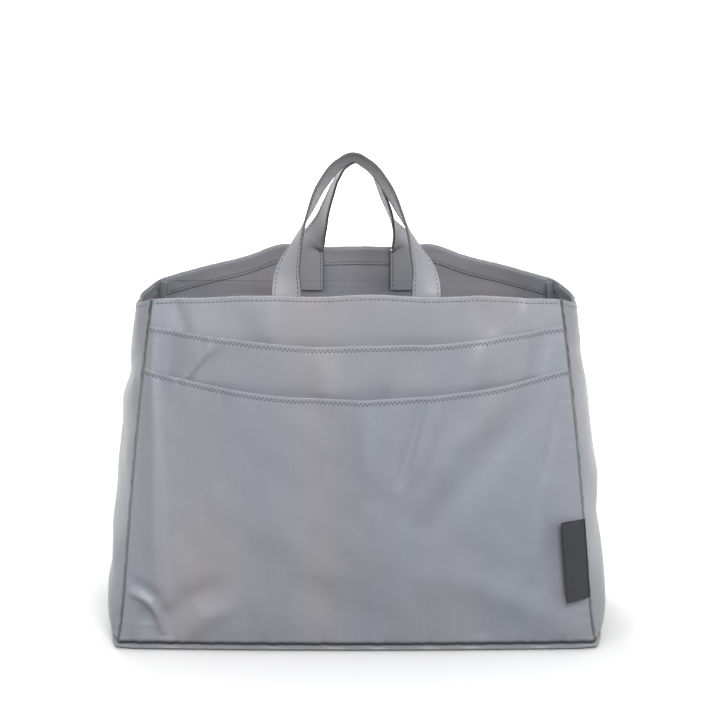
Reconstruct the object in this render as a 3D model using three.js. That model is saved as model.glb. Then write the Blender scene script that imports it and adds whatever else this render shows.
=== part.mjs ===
import * as THREE from 'three';
import { mergeVertices } from 'three/addons/utils/BufferGeometryUtils.js';

// Soft tote-shaped bag organizer insert with two stacked front pockets and two strap handles.
// Millimetres, +Z up. The front faces -Y. The origin is the centre of the base's underside.

// Driving dimensions of the shell
const baseWidth = 345;          // between the front side seams, at the base seam
const rimWidth = 291;           // between the front side seams, at the rim
const baseDepth = 140;          // between front and back side seams, at the base seam
const rimDepth = 66;            // the same, where the gussets pinch the mouth
const seamHeight = 5;           // base seam above the floor
const rimHeight = 249;          // the mouth at its four corners
const frontRimRise = 8;         // middle of the front rim above its corners
const backRimRise = 20;         // middle of the back rim above its corners
const sideRimDip = 8;           // middle of each gusset's rim below its corners
const cornerFlare = 3.5;        // how far the side seams kick out at the base
const flareHeight = 16;         // height over which that kick dies away
const sideBow = 2;              // outward bow of the side seams at half height
const depthTaper = 1.8;         // power law of the narrowing towards the mouth

// How far each panel swells out between its seams
const panelBaseSwell = 4;
const panelRimSwell = 25;
const panelSwellPower = 1.5;
const gussetSeamSwell = 6;
const gussetLowSwell = 16;
const gussetSwellHeight = 12;   // height over which the gusset fills out above the base seam
const gussetRimSwell = 11;

// Cloth, tape and strap
const shellCloth = 1.2;
const pocketCloth = 0.9;
const tapeThickness = 0.8;
const clearance = 0.4;          // air between neighbouring plies

// Front pockets
const middleHemDrop = 17;       // hem below the rim, at the side seams
const middleHemSag = 7;         // middle of the hem below its ends
const middleFullness = 13;      // slack of the pocket in front of the panel, at its hem
const middleFullnessPower = 1.2;
const lowerHemDrop = 46;
const lowerHemSag = 12;
const lowerFullness = 13;
const lowerFullnessPower = 0.7;
const elasticWidth = 5;
const elasticDrop = 1.5;        // elastic tape below the edge of the hem that holds it
const elasticTrim = 14;         // elastic stops this far from the side seams

// Trim inside the mouth and along the turned seams
const facingHeight = 12;
const facingDrop = 1;           // facing starts this far below the rim
const bindingWidth = 7;         // bound seam allowance standing into the bag
const bindingThickness = 2;
const bindingReach = 5;         // mouth facing stops this far from a corner seam

// Base
const boardThickness = 2.5;
const boardInset = 9;
const edgeWidth = 7;            // rounded edge of the base panel, from the flat to the seam
const edgeKneeWidth = 2.5;      // the edge's knee: this far in from the seam
const edgeKneeHeight = 1.5;     // and this far above the floor

// Handles
const strapWidth = 21;
const strapThickness = 2;
const sewnLength = 32;          // strap sewn to the inside below the rim
const foldGap = 1.4;            // strap free of the rim, where it starts to fold
const leanPower = 1.15;         // how late in its rise a handle leans in over the mouth
const turnPower = 1.15;         // how softly a strap starts to turn above its fold
const legTurnPower = 0.65;      // how low in its rise the two legs' turns differ most
// side is -1 for front and 1 for back, and shift moves the apex sideways. fullTurn is the strap's turn at
// its apex in degrees, turnShare the share of the rise in which most of it is made, and legTurn what the
// right leg turns further and the left leg less. route is half the loop, from the rim to the apex: shares
// of the half spacing and of the rise.
const frontHandle = {
  side: -1, halfSpacing: 49, rise: 89.5, apexOffset: 11.2, shift: -2.4,
  fullTurn: 122, turnShare: 0.37, legTurn: 2,
  route: [[1, 0], [0.98, 0.16], [0.86, 0.34], [0.66, 0.59], [0.44, 0.81], [0.2, 0.95], [0, 1]],
};
const backHandle = {
  side: 1, halfSpacing: 35, rise: 71.5, apexOffset: 10.8, shift: 0.5,
  fullTurn: 93, turnShare: 0.165, legTurn: 13,
  route: [[1, 0], [0.87, 0.12], [0.75, 0.26], [0.64, 0.45], [0.5, 0.66], [0.34, 0.85], [0.17, 0.96], [0, 1]],
};

// Folded label tab, sewn into the right front seam
const tabLow = 41;
const tabHeight = 57;
const tabWidth = 20;
const tabPly = 0.6;
const tabPlyGap = 0.8;
const tabAngle = 28;            // degrees off the front plane
const tabStandOff = 2.4;        // hinge line in front of the outermost pocket ply

// Mesh fineness
const panelColumns = 20;
const panelRows = 10;
const rowCrowding = 1.4;        // power that crowds rows towards the base
const gussetColumns = 10;
const trimColumns = 14;
const bindingRows = 10;
const ringSteps = 14;
const handleSteps = 36;
const shareStep = 0.01;         // half steps for the slope of a wall, across and up
const heightStep = 1;

// Finishes
const nylon = { color: 0x9b9da4, roughness: 0.45, metalness: 0 };
const strap = { color: 0xa3a5ab, roughness: 0.5, metalness: 0 };
const lining = { color: 0x878992, roughness: 0.7, metalness: 0 };
const tape = { color: 0x7e8087, roughness: 0.8, metalness: 0 };
const board = { color: 0x6f7176, roughness: 0.6, metalness: 0 };
const ribbon = { color: 0x3f4046, roughness: 0.75, metalness: 0 };

const heightShare = (z) => (z - seamHeight) / (rimHeight - seamHeight);
const mix = (a, b, t) => a + (b - a) * t;
const arch = (u) => 1 - u * u;

function halfWidth(z) {
  const share = heightShare(z);
  const straight = mix(baseWidth / 2 - cornerFlare, rimWidth / 2, share);
  const flare = cornerFlare * Math.exp(-(z - seamHeight) / flareHeight);
  return straight + flare + sideBow * Math.sin(Math.PI * Math.min(Math.max(share, 0), 1));
}

function halfDepth(z) {
  const share = Math.max(heightShare(z), 0);
  return baseDepth / 2 - (baseDepth - rimDepth) / 2 * share ** depthTaper;
}

function panelSwell(z) {
  return mix(panelBaseSwell, panelRimSwell, Math.max(heightShare(z), 0) ** panelSwellPower);
}

function gussetSwell(z) {
  const filled = 1 - Math.exp(-Math.max(z - seamHeight, 0) / gussetSwellHeight);
  const full = mix(gussetLowSwell, gussetRimSwell, heightShare(z));
  return mix(gussetSeamSwell, full, filled);
}

// Each wall is a sheet over u (side seam to side seam, -1 to 1) and z.
// side names the direction that the wall faces.
const walls = {
  front: {
    half: halfWidth,
    point: (u, z, slack = 0) => {
      const depth = halfDepth(z) + panelSwell(z) * arch(u) + slack;
      return new THREE.Vector3(u * halfWidth(z), -depth, z);
    },
    rim: (u) => rimHeight + frontRimRise * arch(u),
  },
  back: {
    half: halfWidth,
    point: (u, z) => new THREE.Vector3(-u * halfWidth(z), halfDepth(z) + panelSwell(z) * arch(u), z),
    rim: (u) => rimHeight + backRimRise * arch(u),
  },
  right: {
    half: halfDepth,
    point: (u, z) => new THREE.Vector3(halfWidth(z) + gussetSwell(z) * arch(u), u * halfDepth(z), z),
    rim: (u) => rimHeight - sideRimDip * arch(u),
  },
  left: {
    half: halfDepth,
    point: (u, z) => new THREE.Vector3(-halfWidth(z) - gussetSwell(z) * arch(u), -u * halfDepth(z), z),
    rim: (u) => rimHeight - sideRimDip * arch(u),
  },
};

const middleHemHeight = rimHeight - middleHemDrop;
const lowerHemHeight = rimHeight - lowerHemDrop;

// Slack of the two pockets in front of the panel, ply by ply
function middleSlack(u, z) {
  const share = Math.max((z - seamHeight) / (middleHemHeight - seamHeight), 0);
  return clearance + pocketCloth + middleFullness * share ** middleFullnessPower * arch(u);
}

function lowerSlack(u, z) {
  const share = Math.max((z - seamHeight) / (lowerHemHeight - seamHeight), 0);
  return middleSlack(u, z) + clearance + pocketCloth + lowerFullness * share ** lowerFullnessPower * arch(u);
}

const middleHem = (u) => middleHemHeight - middleHemSag * arch(u);
const lowerHem = (u) => lowerHemHeight - lowerHemSag * arch(u);

// Closed solid from vertices and triangles, with its faces turned outward
function solid(vertices, triangles) {
  const geometry = new THREE.BufferGeometry();
  geometry.setAttribute('position', new THREE.Float32BufferAttribute(vertices.flatMap((p) => p.toArray()), 3));
  let volume = 0;
  for (const [a, b, c] of triangles) {
    volume += vertices[a].dot(new THREE.Vector3().crossVectors(vertices[b], vertices[c]));
  }
  const turned = volume < 0 ? triangles.map(([a, b, c]) => [a, c, b]) : triangles;
  geometry.setIndex(turned.flat());
  const merged = mergeVertices(geometry);
  merged.computeVertexNormals();
  return merged;
}

// Outward normal of a surface given as point(u, z)
function normalAt(point, u, z, outward) {
  const along = point(u + shareStep, z).sub(point(u - shareStep, z));
  const up = point(u, z + heightStep).sub(point(u, z - heightStep));
  const normal = along.cross(up).normalize();
  return normal.dot(outward) < 0 ? normal.negate() : normal;
}

// A ply of cloth: the surface point(u, z) between low(u) and high(u), set in by inset,
// thickness thick, and trimmed by trim millimetres at both side edges.
function clothSheet({ point, half, low, high, outward, inset = 0, thick, trim = 0, columns, rows }) {
  const vertices = [];
  const triangles = [];
  const width = columns + 1;
  const layer = width * (rows + 1);
  for (const depth of [inset, inset + thick]) {
    for (let row = 0; row <= rows; row += 1) {
      const climb = (row / rows) ** rowCrowding;
      for (let column = 0; column <= columns; column += 1) {
        const across = column / columns * 2 - 1;
        const u = across * (1 - trim / half(mix(low(across), high(across), climb)));
        const z = mix(low(u), high(u), climb);
        const normal = normalAt(point, u, z, outward);
        vertices.push(point(u, z).addScaledVector(normal, -depth));
      }
    }
  }
  const quad = (a, b, c, d) => triangles.push([a, b, c], [a, c, d]);
  for (let row = 0; row < rows; row += 1) {
    for (let column = 0; column < columns; column += 1) {
      const a = row * width + column;
      quad(a, a + 1, a + 1 + width, a + width);
      quad(layer + a, layer + a + width, layer + a + 1 + width, layer + a + 1);
    }
  }
  for (let column = 0; column < columns; column += 1) {
    const top = rows * width + column;
    quad(column, layer + column, layer + column + 1, column + 1);
    quad(top, top + 1, layer + top + 1, layer + top);
  }
  for (let row = 0; row < rows; row += 1) {
    const left = row * width;
    const right = left + columns;
    quad(left, left + width, layer + left + width, layer + left);
    quad(right, layer + right, layer + right + width, right + width);
  }
  return solid(vertices, triangles);
}

// Triangles that close a flat ring, wound the way that the ring runs seen from above
function capTriangles(ring) {
  const outline = ring.map((p) => new THREE.Vector2(p.x, p.y));
  const ringTurn = Math.sign(THREE.ShapeUtils.area(outline));
  return THREE.ShapeUtils.triangulateShape(outline, []).map(([a, b, c]) => {
    const turn = Math.sign(THREE.ShapeUtils.area([outline[a], outline[b], outline[c]]));
    return turn === ringTurn ? [a, b, c] : [a, c, b];
  });
}

// A solid through rings of equal point counts, closed by level caps at its first and last ring
function ringSolid(rings) {
  const count = rings[0].length;
  const last = (rings.length - 1) * count;
  const triangles = [];
  for (let start = 0; start < last; start += count) {
    for (let i = 0; i < count; i += 1) {
      const a = start + i;
      const b = start + (i + 1) % count;
      triangles.push([a, b, b + count], [a, b + count, a + count]);
    }
  }
  for (const [a, b, c] of capTriangles(rings[0])) {
    triangles.push([a, c, b]);
  }
  for (const [a, b, c] of capTriangles(rings[rings.length - 1])) {
    triangles.push([last + a, last + b, last + c]);
  }
  return solid(rings.flat(), triangles);
}

// A band that closes on itself through rings, with no caps
function bandSolid(rings) {
  const vertices = rings.flat();
  const count = rings[0].length;
  const triangles = [];
  for (let ring = 0; ring < rings.length; ring += 1) {
    const next = (ring + 1) % rings.length;
    for (let i = 0; i < count; i += 1) {
      const j = (i + 1) % count;
      triangles.push([ring * count + i, ring * count + j, next * count + j]);
      triangles.push([ring * count + i, next * count + j, next * count + i]);
    }
  }
  return solid(vertices, triangles);
}

// The shell's outline as it is at the height level, set in by inset and placed at height
function outline(inset, height, level = seamHeight) {
  const points = [];
  for (const side of ['front', 'right', 'back', 'left']) {
    for (let i = 0; i < ringSteps; i += 1) {
      const p = walls[side].point(i / ringSteps * 2 - 1, level);
      p.x *= 1 - inset / halfWidth(level);
      p.y *= 1 - inset / halfDepth(level);
      p.z = height;
      points.push(p);
    }
  }
  return points;
}

const outwardOf = {
  front: new THREE.Vector3(0, -1, 0),
  back: new THREE.Vector3(0, 1, 0),
  right: new THREE.Vector3(1, 0, 0),
  left: new THREE.Vector3(-1, 0, 0),
};

const group = new THREE.Group();

function addPiece(name, geometry, finish) {
  const mesh = new THREE.Mesh(geometry, new THREE.MeshStandardMaterial(finish));
  mesh.name = name;
  group.add(mesh);
}

// Shell panels, from the base seam to the rim
const panelFoot = () => seamHeight;
const gussetTrim = shellCloth + clearance;
for (const [name, side] of [['front_panel', 'front'], ['back_panel', 'back']]) {
  addPiece(name, clothSheet({
    ...walls[side], outward: outwardOf[side], low: panelFoot, high: walls[side].rim,
    thick: shellCloth, columns: panelColumns, rows: panelRows,
  }), nylon);
}
for (const side of ['left', 'right']) {
  addPiece(`${side}_gusset`, clothSheet({
    ...walls[side], outward: outwardOf[side], low: panelFoot, high: walls[side].rim,
    thick: shellCloth, trim: gussetTrim, columns: gussetColumns, rows: panelRows,
  }), nylon);
}

// Front pockets, caught in the side seams and the base seam
const frontPly = (slack) => (u, z) => walls.front.point(u, z, slack(u, z));
const pockets = [
  { name: 'middle_pocket', slack: middleSlack, hem: middleHem },
  { name: 'lower_pocket', slack: lowerSlack, hem: lowerHem },
];
for (const { name, slack, hem } of pockets) {
  addPiece(name, clothSheet({
    point: frontPly(slack), half: halfWidth, outward: outwardOf.front, low: panelFoot, high: hem,
    thick: pocketCloth, columns: panelColumns, rows: panelRows,
  }), nylon);
  addPiece(`${name}_elastic`, clothSheet({
    point: frontPly(slack), half: halfWidth, outward: outwardOf.front,
    low: (u) => hem(u) - elasticDrop - elasticWidth, high: (u) => hem(u) - elasticDrop,
    inset: pocketCloth + clearance, thick: tapeThickness, trim: elasticTrim,
    columns: panelColumns, rows: 1,
  }), tape);
}

// Facings round the inside of the mouth
for (const side of ['front', 'back', 'left', 'right']) {
  const rim = walls[side].rim;
  addPiece(`${side}_mouth_facing`, clothSheet({
    ...walls[side], outward: outwardOf[side],
    low: (u) => rim(u) - facingDrop - facingHeight, high: (u) => rim(u) - facingDrop,
    inset: shellCloth + clearance, thick: tapeThickness, trim: bindingReach,
    columns: trimColumns, rows: 1,
  }), lining);
}

// Bound seam allowances: one up each corner, standing into the bag along the corner's bisector
const bindingFoot = seamHeight + bindingWidth + clearance;
const bindingStart = shellCloth + clearance + bindingThickness / 2;
function cornerBinding(signX, signY) {
  const rings = [];
  const inward = new THREE.Vector3(-signX, -signY, 0).normalize();
  const across = new THREE.Vector3(-inward.y, inward.x, 0);
  for (let row = 0; row <= bindingRows; row += 1) {
    const z = mix(bindingFoot, rimHeight - facingDrop, row / bindingRows);
    const corner = new THREE.Vector3(signX * halfWidth(z), signY * halfDepth(z), z);
    const at = (reach, side) => corner.clone()
      .addScaledVector(inward, reach)
      .addScaledVector(across, side * bindingThickness / 2);
    const end = bindingStart + bindingWidth;
    rings.push([at(bindingStart, -1), at(end, -1), at(end, 1), at(bindingStart, 1)]);
  }
  return ringSolid(rings);
}
addPiece('front_left_seam_binding', cornerBinding(-1, -1), tape);
addPiece('front_right_seam_binding', cornerBinding(1, -1), tape);
addPiece('back_left_seam_binding', cornerBinding(-1, 1), tape);
addPiece('back_right_seam_binding', cornerBinding(1, 1), tape);

// Base: outer panel turned up to the seam, stiffening board, lining and bound seam allowance
const baseLip = seamHeight - clearance;
const floorTop = shellCloth;
const boardTop = floorTop + clearance + boardThickness;
const liningTop = boardTop + clearance + pocketCloth;
addPiece('base_panel', ringSolid([
  outline(edgeWidth, 0),
  outline(edgeKneeWidth, edgeKneeHeight),
  outline(0, baseLip),
  outline(shellCloth, baseLip),
  outline(edgeKneeWidth + shellCloth, edgeKneeHeight + shellCloth),
  outline(edgeWidth + shellCloth, floorTop),
]), nylon);
addPiece('base_board', ringSolid([
  outline(boardInset, floorTop + clearance),
  outline(boardInset, boardTop),
]), board);
addPiece('base_lining', ringSolid([
  outline(boardInset - clearance, liningTop - pocketCloth),
  outline(boardInset - clearance, liningTop),
]), lining);
const bandOuter = shellCloth + 3 * clearance;
const bandInner = bandOuter + bindingThickness;
const bandTop = seamHeight + bindingWidth;
addPiece('base_seam_binding', bandSolid([
  outline(bandOuter, seamHeight),
  outline(bandOuter, bandTop, bandTop),
  outline(bandInner, bandTop, bandTop),
  outline(bandInner, seamHeight),
]), tape);

// Handles. The loop stands on the rim, and its two ends are sewn to the inside of the mouth facing.
const strapInset = shellCloth + clearance + tapeThickness + clearance;
function strapSeat(handle) {
  const wall = handle.side < 0 ? walls.front : walls.back;
  const rim = wall.rim((handle.halfSpacing - strapWidth / 2) / halfWidth(rimHeight));
  const outer = Math.abs(wall.point(handle.halfSpacing / halfWidth(rim), rim).y);
  return { wall, rim, foldHeight: rim + foldGap, y: handle.side * (outer - strapInset - strapThickness / 2) };
}

// Angle in degrees between the strap's width and the panel's plane, at a share of the rise
function strapTurn(handle, rise, onRight) {
  const turn = handle.fullTurn * (1 - Math.exp(-((rise / handle.turnShare) ** turnPower)));
  const difference = handle.legTurn * Math.sin(Math.PI * rise ** legTurnPower);
  return turn + (onRight ? difference : -difference);
}

// The strap lies in the panel's plane at its feet, and turns on its way to the apex so that
// each leg's inner edge comes to the front and up
function handleLoop(handle) {
  const seat = strapSeat(handle);
  const centreAt = ([spread, rise]) => new THREE.Vector3(
    spread * handle.halfSpacing + handle.shift * rise,
    mix(seat.y, handle.side * handle.apexOffset, rise ** leanPower),
    seat.foldHeight + handle.rise * rise,
  );
  const leftLeg = handle.route.map(([spread, rise]) => [-spread, rise]);
  const rightLeg = handle.route.slice(0, -1).reverse();
  const curve = new THREE.CatmullRomCurve3([...leftLeg, ...rightLeg].map(centreAt));
  const back = new THREE.Vector3(0, 1, 0);
  const rings = [];
  for (let step = 0; step <= handleSteps; step += 1) {
    const t = step / handleSteps;
    const centre = curve.getPoint(t);
    const atFoot = step === 0 || step === handleSteps;
    const tangent = atFoot ? new THREE.Vector3(0, 0, step === 0 ? 1 : -1) : curve.getTangent(t);
    const rise = Math.min(Math.max((centre.z - seat.foldHeight) / handle.rise, 0), 1);
    const turn = THREE.MathUtils.degToRad(strapTurn(handle, rise, t > 0.5));
    const outward = new THREE.Vector3().crossVectors(tangent, back).normalize();
    const width = outward.multiplyScalar(Math.cos(turn)).addScaledVector(back, Math.sin(turn));
    width.addScaledVector(tangent, -width.dot(tangent)).normalize();
    const depth = new THREE.Vector3().crossVectors(tangent, width);
    rings.push([[-1, -1], [1, -1], [1, 1], [-1, 1]].map(([across, through]) => centre.clone()
      .addScaledVector(width, across * strapWidth / 2)
      .addScaledVector(depth, through * strapThickness / 2)));
  }
  return ringSolid(rings);
}

function sewnEnd(handle, sign) {
  const { wall, rim, foldHeight } = strapSeat(handle);
  const centre = sign * handle.halfSpacing;
  return clothSheet({
    point: (across, z) => wall.point((centre + across * strapWidth / 2) / halfWidth(z), z),
    half: () => strapWidth / 2,
    outward: outwardOf[handle.side < 0 ? 'front' : 'back'],
    low: () => rim - sewnLength,
    high: () => foldHeight - clearance,
    inset: strapInset, thick: strapThickness, columns: 4, rows: 2,
  });
}
for (const [name, handle] of [['front_handle', frontHandle], ['back_handle', backHandle]]) {
  const mirror = handle.side < 0 ? 1 : -1;
  addPiece(name, handleLoop(handle), strap);
  addPiece(`${name}_left_end`, sewnEnd(handle, -mirror), strap);
  addPiece(`${name}_right_end`, sewnEnd(handle, mirror), strap);
}

// Label tab: one ribbon folded double, its open side at the right front seam
function tabSection(z) {
  const angle = THREE.MathUtils.degToRad(tabAngle);
  const along = new THREE.Vector3(-Math.cos(angle), -Math.sin(angle), 0);
  const through = new THREE.Vector3(-along.y, along.x, 0);
  const seam = new THREE.Vector3(halfWidth(z), -halfDepth(z) - lowerSlack(1, z) - tabStandOff, z);
  const face = tabPly + tabPlyGap / 2;
  const inside = tabPlyGap / 2;
  const fold = tabWidth - tabPly;
  const corners = [
    [0, -face], [tabWidth, -face], [tabWidth, face], [0, face],
    [0, inside], [fold, inside], [fold, -inside], [0, -inside],
  ];
  return corners.map(([reach, side]) => seam.clone()
    .addScaledVector(along, reach)
    .addScaledVector(through, side));
}
addPiece('label_tab', ringSolid([tabSection(tabLow), tabSection(tabLow + tabHeight)]), ribbon);

export default group;
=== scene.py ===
import math

import bmesh
import bpy
import numpy as np
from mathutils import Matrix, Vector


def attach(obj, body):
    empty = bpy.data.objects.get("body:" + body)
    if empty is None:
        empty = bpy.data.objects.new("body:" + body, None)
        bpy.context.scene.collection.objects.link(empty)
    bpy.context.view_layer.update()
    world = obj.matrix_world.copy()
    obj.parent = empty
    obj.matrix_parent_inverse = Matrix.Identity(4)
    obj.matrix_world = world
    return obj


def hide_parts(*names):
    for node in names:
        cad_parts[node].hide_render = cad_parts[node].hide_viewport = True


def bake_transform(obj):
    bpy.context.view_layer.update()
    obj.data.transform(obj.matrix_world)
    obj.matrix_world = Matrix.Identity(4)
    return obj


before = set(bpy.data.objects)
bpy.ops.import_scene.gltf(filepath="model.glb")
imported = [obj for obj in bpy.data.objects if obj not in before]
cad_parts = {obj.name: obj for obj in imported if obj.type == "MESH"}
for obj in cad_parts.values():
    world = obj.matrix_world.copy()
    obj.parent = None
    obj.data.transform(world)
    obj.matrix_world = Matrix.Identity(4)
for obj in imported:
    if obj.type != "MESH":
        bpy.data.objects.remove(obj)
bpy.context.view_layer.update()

# Soft tote-shaped bag insert: one sewn nylon shell, two stacked front pockets, two strap handles and a tab.
# Lengths are millimetres until a mesh is made, which holds metres. +Z is up and the front faces -Y.
MM = 0.001

# Shell
BASE_WIDTH = 345
RIM_WIDTH = 291
BASE_DEPTH = 140
RIM_DEPTH = 66
SEAM_HEIGHT = 5
RIM_HEIGHT = 249
FRONT_RIM_RISE = 8
BACK_RIM_RISE = 20
SIDE_RIM_DIP = 8
CORNER_FLARE = 3.5
FLARE_HEIGHT = 16
SIDE_BOW = 2
DEPTH_TAPER = 1.8
PANEL_BASE_SWELL = 4
PANEL_RIM_SWELL = 25
PANEL_SWELL_POWER = 1.5
GUSSET_SEAM_SWELL = 6
GUSSET_LOW_SWELL = 16
GUSSET_SWELL_HEIGHT = 12
GUSSET_RIM_SWELL = 13
GUSSET_BASE_POWER = 4.5  # a gusset is squarer across near its base, and a plain arch above GUSSET_EASE
GUSSET_RIM_POWER = 2.2
GUSSET_EASE = 110

# Cloth, tape and trim
SHELL_CLOTH = 1.2
POCKET_CLOTH = 0.9
TAPE = 0.8
CLEARANCE = 0.4
FACING_HEIGHT = 12
FACING_DROP = 1
FACING_REACH = 5
BINDING_WIDTH = 7
BINDING_THICKNESS = 2
ELASTIC_WIDTH = 5
ELASTIC_DROP = 1.5
ELASTIC_TRIM = 14

# Pockets
MIDDLE_HEM = 232
MIDDLE_HEM_SAG = 7
MIDDLE_FULLNESS = 13
MIDDLE_FULLNESS_POWER = 1.2
LOWER_HEM = 203
LOWER_HEM_SAG = 12
LOWER_FULLNESS = 13
LOWER_FULLNESS_POWER = 0.7
HEM_STITCH_DROP = 2.7
RIM_STITCH_DROP = 2.7

# Turned seams: how far the cloth rolls in beside a seam, over what width, and the widths of the painted shade along a
# side seam and along the base seam
SEAM_SINK = 2.5
SEAM_REACH = 2.4
PAINTED_SHADE_WIDTH = 1.25
PAINTED_FOOT_SHADE_WIDTH = 3.0
PLY_CLING = 4           # gap over which one ply stops following the folds of the ply in front of it

# Base
EDGE_WIDTH = 7
FRONT_ROLL = 1.9        # how far the base's edge rolls forward under the stacked pockets
BOARD_INSET = 9
BOARD_TOP = 4.1

# Handles
STRAP_WIDTH = 21
STRAP_THICKNESS = 2
STRAP_STITCH_INSET = 2.4
STRAP_EDGE_PAINTED_SHADE = 0.9  # painted shade on the strap's folded edges, as a share of the painted shade along a seam
SEWN_LENGTH = 32
FOLD_GAP = 1.4
LEAN_POWER = 1.15
STRAP_INSET = SHELL_CLOTH + CLEARANCE + TAPE + CLEARANCE
TURN_POWER = 1.15
LEG_TURN_POWER = 0.65
# full_turn and leg_turn are in degrees, and a route holds shares of the half spacing and of the rise
FRONT_HANDLE = {
    "side": -1, "half_spacing": 49, "rise": 89.5, "apex_offset": 11.2, "shift": -2.4,
    "full_turn": 122, "turn_share": 0.37, "leg_turn": 2,
    "route": [(1, 0), (0.98, 0.16), (0.86, 0.34), (0.66, 0.59), (0.44, 0.81), (0.2, 0.95), (0, 1)],
}
BACK_HANDLE = {
    "side": 1, "half_spacing": 35, "rise": 71.5, "apex_offset": 10.8, "shift": 0.5,
    "full_turn": 93, "turn_share": 0.165, "leg_turn": 13,
    "route": [(1, 0), (0.87, 0.12), (0.75, 0.26), (0.64, 0.45), (0.5, 0.66), (0.34, 0.85), (0.17, 0.96), (0, 1)],
}

# Tab in the right front seam
TAB_LOW = 41
TAB_HEIGHT = 57
TAB_WIDTH = 20
TAB_PLY = 0.7
TAB_ANGLE = 28
TAB_STAND_OFF = 2.4


def mix(a, b, share):
    return a + (b - a) * share


def arch(u):
    return 1 - u * u


def bell(distance, width):
    return np.exp(-(distance / width) ** 2)


def smooth(x, start, end):
    """0 before start, 1 after end, with a soft step between them."""
    t = np.clip((x - start) / (end - start), 0, 1)
    return t * t * (3 - 2 * t)


def unit(vectors):
    return vectors / np.linalg.norm(vectors, axis=-1, keepdims=True)


def points(x, y, z):
    return np.stack(np.broadcast_arrays(x, y, z), axis=-1).astype(float)


# Form of the shell, over u (side seam to side seam, -1 to 1) and height z

def height_share(z):
    return (z - SEAM_HEIGHT) / (RIM_HEIGHT - SEAM_HEIGHT)


def half_width(z):
    """A straight taper, plus a kick at the base that dies away, plus a slight bow."""
    share = height_share(z)
    straight = mix(BASE_WIDTH / 2 - CORNER_FLARE, RIM_WIDTH / 2, share)
    flare = CORNER_FLARE * np.exp(-(z - SEAM_HEIGHT) / FLARE_HEIGHT)
    return straight + flare + SIDE_BOW * np.sin(np.pi * np.clip(share, 0, 1))


def half_depth(z):
    """Half the base's depth, less a power law of the height, where the gussets pinch the mouth."""
    return BASE_DEPTH / 2 - (BASE_DEPTH - RIM_DEPTH) / 2 * np.maximum(height_share(z), 0) ** DEPTH_TAPER


def panel_swell(z):
    return mix(PANEL_BASE_SWELL, PANEL_RIM_SWELL, np.maximum(height_share(z), 0) ** PANEL_SWELL_POWER)


def gusset_swell(z):
    """Small at the base seam, full a little above it, and narrowing towards the mouth."""
    filled = 1 - np.exp(-np.maximum(z - SEAM_HEIGHT, 0) / GUSSET_SWELL_HEIGHT)
    return mix(GUSSET_SEAM_SWELL, mix(GUSSET_LOW_SWELL, GUSSET_RIM_SWELL, height_share(z)), filled)


def gusset_arch(u, z):
    """How a gusset swells across its width: one less a power of u that falls with the height."""
    power = mix(GUSSET_BASE_POWER, GUSSET_RIM_POWER, smooth(z, SEAM_HEIGHT, GUSSET_EASE))
    return 1 - np.abs(u) ** power


def ripple(a, b, seed, length, height):
    """Gentle unevenness: a sum of eight plane waves in seeded directions, with lengths round the one given."""
    rng = np.random.default_rng(seed)
    total = 0
    for _ in range(8):
        angle, phase = rng.uniform(0, 2 * np.pi, 2)
        wave = 2 * np.pi / (length * rng.uniform(0.6, 1.7))
        total = total + np.sin(wave * (a * np.cos(angle) + b * np.sin(angle)) + phase)
    return height * total / 4


def pucker(along, distance, seed, height=0.45, reach=6):
    """Gathers beside a seam: short waves along it that die away with the distance from it."""
    rng = np.random.default_rng(seed)
    total = 0
    for length in (7.5, 10.7, 15.3, 23.9):
        total = total + np.sin(2 * np.pi * along / length + rng.uniform(0, 2 * np.pi))
    return height * total / 2 * np.exp(-distance / reach)


def tuck(distance):
    """How far a turned edge sinks in: a quarter ellipse from SEAM_SINK at the seam to nothing at SEAM_REACH."""
    near = np.clip(1 - distance / SEAM_REACH, 0, 1)
    return SEAM_SINK * (1 - np.sqrt(1 - near ** 2))


def fold(x, z, path, width, height, steep=1.0):
    """A soft fold: a bell of the distance to a line of points, fading in and out along it.
    Its flank on the left of the line is steeper where steep is above 1."""
    best = np.full(np.broadcast(x, z).shape, np.inf)
    share = np.zeros_like(best)
    sign = np.ones_like(best)
    lengths = [math.dist(p, q) for p, q in zip(path, path[1:])]
    done = 0
    for (px, pz), (qx, qz), length in zip(path, path[1:], lengths):
        dx, dz = (qx - px) / length, (qz - pz) / length
        along = np.clip((x - px) * dx + (z - pz) * dz, 0, length)
        distance = np.hypot(x - px - along * dx, z - pz - along * dz)
        closer = distance < best
        best = np.where(closer, distance, best)
        share = np.where(closer, (done + along) / sum(lengths), share)
        sign = np.where(closer, np.sign((x - px) * dz - (z - pz) * dx), sign)
        done += length
    fade = np.sqrt(np.sin(np.pi * np.clip(mix(0.06, 0.94, share), 0, 1)))
    return height * fade * bell(best * np.where(sign < 0, steep, 1), width)


def middle_slack(u, z):
    share = np.maximum((z - SEAM_HEIGHT) / (MIDDLE_HEM - SEAM_HEIGHT), 0)
    return CLEARANCE + POCKET_CLOTH + MIDDLE_FULLNESS * share ** MIDDLE_FULLNESS_POWER * arch(u)


def lower_slack(u, z):
    share = np.maximum((z - SEAM_HEIGHT) / (LOWER_HEM - SEAM_HEIGHT), 0)
    full = LOWER_FULLNESS * share ** LOWER_FULLNESS_POWER * arch(u)
    return middle_slack(u, z) + CLEARANCE + POCKET_CLOTH + full


def middle_hem(u):
    return MIDDLE_HEM - MIDDLE_HEM_SAG * arch(u) + 0.6 * np.sin(9 * u + 1) * arch(u)


def lower_hem(u):
    return LOWER_HEM - LOWER_HEM_SAG * arch(u) + 0.5 * np.sin(8 * u) * arch(u)


def front_rim(u):
    return RIM_HEIGHT + FRONT_RIM_RISE * arch(u) + 0.8 * np.sin(11 * u + 0.6) * arch(u)


def back_rim(u):
    """The arch of the rim, lifted beside each end of the handle."""
    lift = 5.5 * bell(u - 0.39, 0.13) + 5.5 * bell(u + 0.39, 0.13)
    return RIM_HEIGHT + BACK_RIM_RISE * arch(u) + lift


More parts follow.
